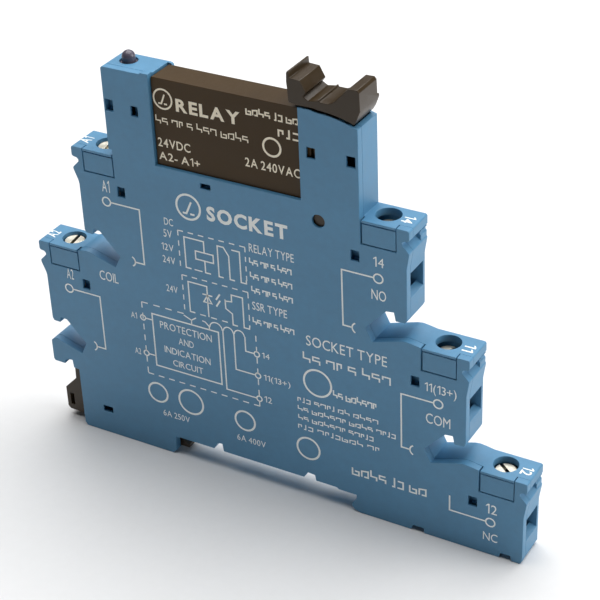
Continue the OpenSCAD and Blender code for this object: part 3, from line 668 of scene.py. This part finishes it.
@dataclass(frozen=True)
class Face:
    """A flat face that carries marks: where its ink's top lies, and how its plane is laid out.

    On a side, right is +X and up is +Z. On a top, up is towards the module's end, +X or -X.
    """

    level: float
    outward: Place
    end: int = 1
    ink: float = 0.016

    def placed(self, flat: np.ndarray) -> np.ndarray:
        """Puts plane points on the face.

        Args:
            flat: Rows of two numbers, in metres.

        Returns:
            The rows of three numbers in the model's frame.
        """
        level = np.full(len(flat), self.level * MM)
        if self.outward[2]:
            return np.stack([self.end * flat[:, 1], -self.end * flat[:, 0], level], 1)
        return np.stack([flat[:, 0], level, flat[:, 1]], 1)


# --------------------------------------------------------------------------------- mouldings
@dataclass(frozen=True)
class Moulding:
    """A moulded CAD solid redrawn with rounded edges, in place of its sharp-edged node.

    A shift is a level across the thickness and how far the faces on that level are moved, in
    millimetres. Angles are in degrees.
    """

    node: str
    body: str
    slot: str
    finish: Finish
    edge: float
    steps: int = 2
    shifts: tuple[Point, ...] = ()
    merged: float = 1e-6
    flat_within: float = 0.6
    sharp_from: float = 30.0

    def build(self, nodes: dict[str, bpy.types.Object]) -> bpy.types.Object:
        """Copies the node, merges it, moves the shifted levels and rounds every sharp edge.

        Args:
            nodes: The CAD nodes by name.

        Returns:
            The rounded piece.
        """
        name = self.node + "_rounded"
        mesh = nodes[self.node].data.copy()
        mesh.name = name
        bm = bmesh.new()
        bm.from_mesh(mesh)
        bmesh.ops.remove_doubles(bm, verts=bm.verts, dist=self.merged)
        flat_within = math.radians(self.flat_within)
        bmesh.ops.dissolve_limit(bm, angle_limit=flat_within, verts=bm.verts, edges=bm.edges)
        bm.to_mesh(mesh)
        bm.free()
        co = np.zeros(len(mesh.vertices) * 3)
        mesh.vertices.foreach_get("co", co)
        co = co.reshape(-1, 3)
        for level, by in self.shifts:
            co[np.abs(co[:, 1] - level * MM) < self.merged, 1] += by * MM
        mesh.vertices.foreach_set("co", co.ravel())
        mesh.shade_smooth()
        obj = added(name, mesh)
        bevel = obj.modifiers.new("edges", "BEVEL")
        bevel.width, bevel.segments = self.edge * MM, self.steps
        bevel.limit_method, bevel.angle_limit = "ANGLE", math.radians(self.sharp_from)
        bevel.use_clamp_overlap = False
        flat = obj.modifiers.new("flat_faces", "WEIGHTED_NORMAL")
        flat.mode, flat.weight = "FACE_AREA", 100
        dressed(obj, self.finish.material())
        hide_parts(self.node)
        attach(obj, self.body)
        LOG.info("%s: %d faces before rounding", name, len(mesh.polygons))
        return obj


# -------------------------------------------------------------------------- the sub-assemblies
@dataclass(frozen=True)
class Terminal:
    """Printed circuit mark of one terminal: a ring at its place and a lead to a socket fork."""

    name: str
    ring: Point
    letter_box: tuple[float, float, float, float]
    lead_x: float
    fork: Point | None
    side: int
    role: str = ""
    role_box: tuple[float, float, float, float] = (0.0, 0.0, 0.0, 0.0)
    ring_radius: float = 0.78
    fork_radius: float = 0.95
    fork_half: float = 65.0
    open_end: float = 2.9

    def draw(self, ink: Ink) -> None:
        """Draws the ring, the lead, the fork or a short end in its place, and the words.

        Args:
            ink: The cover's ink.
        """
        x, z = self.ring
        ink.ring(self.ring, self.ring_radius, 0.26)
        lead = [(x - self.side * (self.ring_radius + 0.12), z), (self.lead_x, z)]
        if self.fork:
            middle = 0 if self.side < 0 else 180
            ink.line(lead + [(self.lead_x, self.fork[1]), self.fork])
            ink.arc((self.fork[0] + self.side * self.fork_radius, self.fork[1]), self.fork_radius,
                    middle - self.fork_half, middle + self.fork_half)
        else:
            ink.line(lead + [(self.lead_x, z + self.open_end)])
        ink.text(self.name, *self.letter_box)
        if self.role:
            ink.text(self.role, *self.role_box)


@dataclass
class Socket:
    """The blue two-shell socket with its terminals, board and printed circuit."""

    near_face: float = -3.1
    edge: float = 0.09
    base_edge: float = 0.05
    ink_room: float = 0.02
    ink_inset: float = 0.004
    bold: float = 0.04
    top_ink: float = 0.012
    top_bold: float = 0.015
    top_box: tuple[float, float, float] = (-1.15, 0.85, 1.85)
    terminals: tuple[Terminal, ...] = (
        Terminal("A1", (-27.5, 44.1), (-28.1, 45.9, -26.6, 48.1), -21.1, (-22.9, 33.85), -1),
        Terminal("A2", (-37.45, 24.9), (-37.6, 26.9, -36.2, 28.9), -31.1, (-32.9, 14.3), -1,
                 "COIL", (-30.6, 28.6, -26.8, 30.4)),
        Terminal("14", (22.2, 42.65), (21.4, 44.7, 23.2, 46.4), 15.9, (17.5, 32.6), 1,
                 "NO", (21.0, 38.8, 23.5, 40.6)),
        Terminal("11(13+)", (32.3, 22.7), (30.0, 24.6, 35.4, 26.2), 25.9, (27.4, 12.4), 1,
                 "COM", (30.2, 18.6, 34.4, 20.5)),
        Terminal("12", (41.5, 2.75), (40.7, 4.5, 42.6, 6.4), 34.4, None, 1,
                 "NC", (40.3, -1.0, 42.8, 0.6)),
    )
    screw_colour: Colour = (0.80, 0.76, 0.64)
    top_marks: tuple[tuple[str, float, float], ...] = (
        ("A1", -33.4, 52.95), ("A2", -42.7, 33.05),
        ("14", 26.75, 52.07), ("11", 36.9, 32.17), ("12", 47.05, 12.27))

    def build(self, frame: dict) -> None:
        """Builds the shells and prints, and dresses the socket's CAD nodes.
        """
        nodes = frame["nodes"]
        Moulding("housing_base", "housing", "blue_plastic", Finish.BLUE, self.base_edge).build(nodes)
        room = ((self.near_face, self.ink_room),)
        Moulding("housing_cover", "housing", "blue_plastic", Finish.BLUE, self.edge, 2, room).build(nodes)
        self.print_cover()
        self.print_tops()
        self.dress_inside(nodes)

    def print_cover(self) -> None:
        """Prints the terminals' leads and the generic circuit of the relay and its socket."""
        ink = Ink()
        for terminal in self.terminals:
            terminal.draw(ink)
        self.coil_diagram(ink)
        self.solid_state_diagram(ink)
        self.socket_diagram(ink)
        self.captions(ink)
        face = Face(self.near_face + self.ink_inset, (0.0, -1.0, 0.0))
        ink.piece("cover_print", face, Finish.PALE_INK.material(), "housing")

    def coil_diagram(self, ink: Ink) -> None:
        """A coil and its contact in a dashed frame.

        Args:
            ink: The cover's ink.
        """
        ink.dashes([(-13.9, 35.5), (-13.9, 42.15), (-1.35, 42.15), (-1.35, 36.0)], 1.05, 0.95)
        ink.line([(-11.8, 35.5), (-12.8, 35.5), (-12.8, 41.2), (-9.1, 41.2), (-9.1, 39.15)], 0.24)
        ink.line([(-10.8, 39.1), (-7.45, 39.1), (-7.45, 37.6), (-10.8, 37.6)], 0.24, True)
        ink.line([(-9.1, 37.5), (-9.1, 35.45), (-8.1, 35.45)], 0.24)
        ink.line([(-5.7, 35.4), (-6.55, 35.4), (-6.55, 41.1), (-5.4, 41.1), (-4.48, 39.7),
                  (-4.48, 35.4), (-3.6, 35.4)], 0.24)
        ink.line([(-3.9, 41.0), (-2.42, 41.0), (-2.42, 35.4), (-1.45, 35.4), (-1.45, 36.0)], 0.24)
        ink.dashes([(-11.2, 35.5), (-9.7, 35.5)], 1.4, 0.6)

    def solid_state_diagram(self, ink: Ink) -> None:
        """A light-emitting diode and a solid-state switch in a dashed frame.

        Args:
            ink: The cover's ink.
        """
        ink.dashes([(-13.8, 27.2), (-13.8, 33.85), (-1.3, 33.85), (-1.3, 28.5)], 1.05, 0.95)
        ink.line([(-11.75, 27.1), (-12.7, 27.1), (-12.7, 32.85), (-9.12, 32.85), (-9.12, 27.0)], 0.24)
        ink.line([(-9.9, 29.75), (-8.35, 29.75), (-9.12, 31.1)], 0.22, True)
        ink.line([(-10.05, 31.2), (-8.15, 31.2)], 0.24)
        ink.line([(-6.7, 32.0), (-7.5, 30.75)], 0.3)
        ink.line([(-6.7, 30.8), (-7.5, 29.5)], 0.3)
        ink.line([(-3.6, 26.8), (-4.5, 26.8), (-4.5, 28.9), (-5.7, 29.6), (-5.75, 31.3)], 0.24)
        ink.line([(-5.75, 31.0), (-4.5, 31.2), (-4.5, 32.5), (-2.4, 32.5), (-2.4, 26.85),
                  (-1.4, 26.85), (-1.3, 27.6)], 0.24)
        ink.dashes([(-10.8, 27.05), (-5.5, 27.0)], 1.1, 1.0)

    def socket_diagram(self, ink: Ink) -> None:
        """The socket's own circuit: a block with five numbered terminals on a dashed frame.

        Args:
            ink: The cover's ink.
        """
        ink.dashes([(-22.45, 12.1), (-22.45, 26.3), (-14.1, 26.3)], 1.1, 1.0)
        ink.dashes([(-22.45, 12.0), (-0.3, 12.0), (-0.3, 25.9)], 1.15, 1.0)
        ink.line([(-20.55, 24.5), (-7.5, 24.5), (-7.5, 14.15), (-20.55, 14.15)], 0.26, True)
        for x, z in ((-22.45, 23.2), (-22.45, 16.05), (-0.3, 22.3), (-0.3, 18.1), (-0.3, 13.5)):
            ink.ring((x, z), 0.5, 0.24, 24)
        for z in (23.2, 16.05):
            ink.line([(-21.9, z), (-20.6, z)], 0.24)
        ink.line([(-14.1, 26.0), (-12.65, 25.4), (-11.7, 26.1)], 0.22)
        ink.line([(-12.65, 25.5), (-12.65, 24.5)], 0.22)
        ink.line([(-10.5, 25.9), (-9.9, 25.8), (-9.2, 25.1), (-9.2, 24.5)], 0.22)
        for x, low, left in ((-6.6, 13.5, -9.2), (-4.5, 18.1, -6.6), (-2.4, 22.3, -4.5)):
            middle = (x + left) / 2
            ink.arc((middle, 25.05), (x - left) / 2 - 0.1, 175, 0, 0.22, 10)
            ink.line([(x, 25.1), (x, low), (-0.85, low)], 0.24)
        for words, left, low, right, high in (
                ("PROTECTION", -19.1, 22.1, -8.9, 23.5), ("AND", -15.6, 19.8, -12.6, 21.1),
                ("INDICATION", -18.6, 17.4, -9.5, 18.7), ("CIRCUIT", -17.1, 15.1, -11.1, 16.3),
                ("A1", -24.9, 22.6, -23.7, 23.8), ("A2", -24.8, 15.4, -23.6, 16.6),
                ("14", 0.7, 21.9, 2.1, 23.0), ("11(13+)", 0.8, 17.6, 5.8, 18.7),
                ("12", 0.7, 13.2, 2.1, 14.4)):
            ink.text(words, left, low, right, high)

    def captions(self, ink: Ink) -> None:
        """Voltages and kinds beside the circuits, with unreadable rows and rings for what is left out.

        Args:
            ink: The cover's ink.
        """
        for words, left, low, right, high in (
                ("DC", -16.4, 42.6, -14.7, 43.9), ("5V", -16.7, 40.3, -15.1, 41.7),
                ("12V", -17.3, 37.8, -15.0, 39.1), ("24V", -17.3, 35.4, -14.9, 36.7),
                ("24V", -17.1, 29.9, -14.9, 31.2),
                ("RELAY TYPE", -0.6, 41.6, 7.5, 43.1), ("SSR TYPE", -0.6, 30.9, 5.8, 32.4),
                ("SOCKET TYPE", 9.1, 26.9, 23.5, 28.8), ("6A 250V", -20.1, 3.9, -14.7, 5.1),
                ("6A 400V", -5.2, 3.6, 0.4, 4.8)):
            ink.text(words, left, low, right, high)
        for left, low, right, high, words, weight in (
                (-0.6, 39.2, 6.9, 40.5, [2, 2, 1, 3], 0.17), (-0.6, 36.6, 6.9, 37.9, [2, 2, 1, 3], 0.17),
                (-0.5, 34.0, 6.9, 35.3, [2, 2, 1, 3], 0.17), (-0.6, 28.1, 6.9, 29.4, [2, 2, 1, 3], 0.17),
                (8.5, 23.6, 24.0, 25.5, [2, 2, 1, 3], 0.14), (13.8, 18.2, 21.4, 19.6, [2, 6], 0.17),
                (7.1, 15.4, 21.7, 16.4, [3, 4, 2, 4], 0.18), (7.1, 13.6, 24.8, 14.6, [2, 6, 4, 4], 0.18),
                (7.1, 11.8, 20.8, 12.8, [2, 6, 5], 0.18), (7.0, 10.0, 21.8, 11.0, [3, 7, 2], 0.18),
                (16.9, 3.9, 30.2, 5.8, [4, 2, 2], 0.15)):
            ink.greeked(left, low, right, high, words, weight)
        ink.text("SOCKET", -8.1, 45.5, 6.6, 48.0, self.bold)
        ink.ring((-11.5, 46.9), 2.2, 0.38, 56)
        ink.line([(-12.6, 45.7), (-11.9, 45.7), (-10.9, 47.9)], 0.34)
        ink.line([(-11.2, 45.7), (-10.4, 45.7)], 0.34)
        for x, z, radius in ((-20.8, 8.4, 1.9), (-14.1, 8.45, 2.4), (-3.4, 8.0, 1.9), (10.9, 20.0, 2.5),
                             (8.7, 6.3, 2.1)):
            ink.ring((x, z), radius, 0.36, 48)

    def print_tops(self) -> None:
        """Prints each terminal's number on its top face, between the screw hole and the end."""
        left, right, high = self.top_box
        for words, x, level in self.top_marks:
            ink = Ink()
            ink.text(words, left, abs(x) - high, right, abs(x), self.top_bold)
            face = Face(level + self.top_ink, (0.0, 0.0, 1.0), 1 if x > 0 else -1)
            ink.piece(f"top_mark_{words}", face, Finish.PALE_INK.material(), "housing")

    def dress_inside(self, nodes: dict[str, bpy.types.Object]) -> None:
        """Gives the indicator, the board's parts and the socket's metal parts their finishes.

        Args:
            nodes: The CAD nodes by name.
        """
        finishes = {"status_led": Finish.LENS, "circuit_board": Finish.BOARD, "board_rectifier": Finish.EPOXY,
                    "board_capacitor": Finish.AMBER, "board_suppressor": Finish.EPOXY,
                    "board_resistors": Finish.RESISTOR}
        for name, finish in finishes.items():
            dressed(nodes[name], finish.material())
        for name, node in nodes.items():
            if name.startswith(("strip_", "coil_contact_")):
                dressed(node, Finish.BRASS.material())
            elif name.startswith(("clamp_", "plate_")):
                dressed(node, Finish.ZINC.material())
            elif name.startswith("screw_"):
                low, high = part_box(name)
                middle = tuple((low + high) / 2)
                dressed(node, Turned("plated_" + name, self.screw_colour, middle).dress())
        LOG.info("socket: %d nodes dressed", len(nodes))


@dataclass
class PlugInRelay:
    """The plug-in solid-state relay with its printed case."""

    face: float = -2.5
    edge: float = 0.07
    ink_over: float = 0.012
    medium: float = 0.012
    bold: float = 0.035

    def build(self, frame: dict) -> None:
        """Builds the case and its print, and dresses the relay's inner nodes.
        """
        nodes = frame["nodes"]
        Moulding("relay_case", "relay", "relay_plastic", Finish.RELAY, self.edge, 3).build(nodes)
        finishes = {"relay_base": Finish.RELAY, "relay_pins": Finish.TIN, "relay_board": Finish.BOARD,
                    "relay_coupler": Finish.WHITE, "relay_triac": Finish.EPOXY,
                    "relay_resistors": Finish.RESISTOR}
        for name, finish in finishes.items():
            dressed(nodes[name], finish.material())
        self.print_case()

    def print_case(self) -> None:
        """Prints the relay's rating and coil terminals, with unreadable rows for what is left out."""
        ink = Ink()
        ink.ring((-15.05, 64.7), 1.65, 0.3, 48)
        ink.line([(-15.9, 63.9), (-15.35, 63.9), (-14.7, 65.5)], 0.28)
        ink.line([(-14.85, 63.9), (-14.3, 63.9)], 0.28)
        for left, low, right, high, words, weight in (
                (-16.6, 60.4, 0.0, 61.8, [2, 2, 1, 3, 4], 0.14),
                (0.0, 65.3, 8.9, 66.6, [4, 2, 2], 0.19), (5.5, 62.7, 9.05, 64.2, [3], 0.2)):
            ink.greeked(left, low, right, high, words, weight)
        for words, left, low, right, high in (
                ("24VDC", -16.6, 56.4, -10.6, 57.9), ("A2- A1+", -16.6, 54.1, -9.0, 55.5),
                ("2A 240VAC", -0.7, 56.4, 9.0, 57.9)):
            ink.text(words, left, low, right, high, self.medium)
        ink.text("RELAY", -12.7, 63.2, -1.2, 65.3, self.bold)
        ink.ring((4.2, 60.6), 1.5, 0.36, 40)
        face = Face(self.face - self.ink_over, (0.0, -1.0, 0.0))
        ink.piece("relay_print", face, Finish.WARM_INK.material(), "relay")


@dataclass
class LeverAndFoot:
    """The ejector lever and the sprung rail foot, both moulded in brown-black plastic."""

    edge: float = 0.08
    trunnion_end: float = 3.0
    trunnion_sunk: float = 0.4
    spring_turns: int = 7
    spring_wire: float = 0.35
    wire_sides: int = 10
    turn_steps: int = 28
    closed_pitch: float = 1.03
    spring_keep: float = 0.72

    def build(self, frame: dict) -> None:
        """Rounds both mouldings, sinks the trunnions' ends in their holes and winds the spring.
        """
        nodes = frame["nodes"]
        ends = ((-self.trunnion_end, self.trunnion_sunk), (self.trunnion_end, -self.trunnion_sunk))
        edge, black = self.edge, Finish.BLACK
        Moulding("ejector_lever", "lever", "black_plastic", black, edge, 3, ends).build(nodes)
        Moulding("din_foot", "foot", "black_plastic", black, edge, 3).build(nodes)
        self.spring()

    def spring(self) -> None:
        """Winds the foot's spring: a ring of wire carried along a helix with one closed turn at each end.

        At turn n the wire's centre stands at the angle 2 pi n on the mean radius, and its place along
        the axis is a broken line through n, one wire thick per turn at the ends and steeper between.
        A point at angle a on the wire's ring lies cos a outwards and sin a along the axis from there.
        """
        low, high = (np.array(corner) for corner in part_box("foot_spring"))
        wire, turns, sides = self.spring_wire * MM, self.spring_turns, self.wire_sides
        middle, span = (low + high) / 2, high[0] - low[0] - wire
        turn = np.linspace(0, turns, turns * self.turn_steps + 1)[:, None]
        angle = np.linspace(0, 2 * np.pi, sides, endpoint=False)[None, :]
        closed = self.closed_pitch * wire
        along = np.interp(turn, [0, 1, turns - 1, turns], [0, closed, span - closed, span])
        out = (high[1] - low[1] - wire) / 2 + wire / 2 * np.cos(angle)
        points = np.stack([low[0] + wire / 2 + along + wire / 2 * np.sin(angle),
                           middle[1] + out * np.cos(2 * np.pi * turn),
                           middle[2] + out * np.sin(2 * np.pi * turn)], 2).reshape(-1, 3)
        first = np.arange((len(turn) - 1) * sides)
        beside = first - first % sides + (first + 1) % sides
        faces = np.stack([first, first + sides, beside + sides, beside], 1).tolist()
        faces += [list(range(sides)), list(range(len(points) - 1, len(points) - sides - 1, -1))]
        mesh = bpy.data.meshes.new("foot_spring_coil")
        mesh.from_pydata(points, [], faces)
        mesh.shade_smooth()
        obj = added("foot_spring_coil", mesh)
        dressed(obj, Finish.WIRE.material())
        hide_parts("foot_spring")
        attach(obj, "housing")
        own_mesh(obj)
        LOG.info("foot_spring_coil: %d turns of %.2f mm wire", turns, self.spring_wire)


@dataclass
class Studio:
    """Pale floor, soft lights and the camera, whose place and target are in millimetres."""

    floor_z: float = -3.78 * MM
    floor_half: float = 1.6
    place: Place = (128.29, -203.9, 180.3)
    target: Place = (6.47, 0.0, 32.835)
    roll: float = -2.5
    lens: float = 105.56
    film_width: float = 36.0
    sky: tuple[float, float, float, float] = (0.92, 0.96, 1.0, 1.0)
    sky_strength: float = 0.05
    lights: tuple[tuple[str, Place, float, float], ...] = (
        ("top_softbox", (-0.05, 0.24, 0.80), 1.1, 13.5),
        ("end_softbox", (0.75, 0.24, 0.35), 0.5, 3.3),
    )

    def build(self) -> None:
        """Builds the floor, the lights, the camera and the pale surroundings."""
        self.lay_floor()
        for name, place, size, power in self.lights:
            self.hang_light(name, place, size, power)
        self.set_camera()
        world = bpy.data.worlds.new("surroundings")
        world.use_nodes = True
        glow = world.node_tree.nodes["Background"]
        glow.inputs[0].default_value, glow.inputs[1].default_value = self.sky, self.sky_strength
        bpy.context.scene.world = world
        bpy.context.scene.view_settings.view_transform = "Standard"
        LOG.info("studio: floor, %d lights and camera", len(self.lights))

    def lay_floor(self) -> None:
        """Lays a level square sheet just under the module's feet."""
        h = self.floor_half
        mesh = bpy.data.meshes.new("floor")
        mesh.from_pydata([(-h, -h, self.floor_z), (h, -h, self.floor_z), (h, h, self.floor_z),
                          (-h, h, self.floor_z)], [], [(0, 1, 2, 3)])
        floor = added("floor", mesh)
        dressed(floor, Finish.PAPER.material())
        floor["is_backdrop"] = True

    def hang_light(self, name: str, place: Place, size: float, power: float) -> None:
        """Hangs one square softbox that faces the module.

        Args:
            name: The light's name.
            place: Its middle, in metres.
            size: Its side.
            power: Its power in watts.
        """
        lamp = bpy.data.lights.new(name, "AREA")
        lamp.size, lamp.energy, lamp.shape = size, power, "SQUARE"
        holder = added(name, lamp)
        holder.location = place
        holder.rotation_mode = "QUATERNION"
        holder.rotation_quaternion = (Vector(self.target) * MM - Vector(place)).to_track_quat("-Z", "Y")

    def set_camera(self) -> None:
        """Stands the camera at its place, aimed at the target and rolled a little."""
        data = bpy.data.cameras.new("camera")
        data.lens, data.sensor_width = self.lens, self.film_width
        data.clip_start, data.clip_end = 0.01, 10.0
        camera = added("camera", data)
        back = (Vector(self.place) - Vector(self.target)).normalized()
        flat = Vector((-back.y, back.x, 0)).normalized()
        up = back.cross(flat)
        turn = math.radians(self.roll)
        right = flat * math.cos(turn) + up * math.sin(turn)
        above = up * math.cos(turn) - flat * math.sin(turn)
        axes = Matrix((right, above, back)).transposed().to_4x4()
        camera.matrix_world = Matrix.Translation(Vector(self.place) * MM) @ axes
        bpy.context.scene.camera = camera


def corners() -> list[list[float]]:
    """The shown object's lowest and highest corner as plain lists."""
    return [list(corner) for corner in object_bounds()]


def main() -> None:
    """Builds the module's pieces in order, then the studio."""
    logging.basicConfig(level=logging.INFO, format="%(name)s: %(message)s")
    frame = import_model()
    Socket().build(frame)
    PlugInRelay().build(frame)
    LeverAndFoot().build(frame)
    Studio().build()


if __name__ == "__main__":
    main()
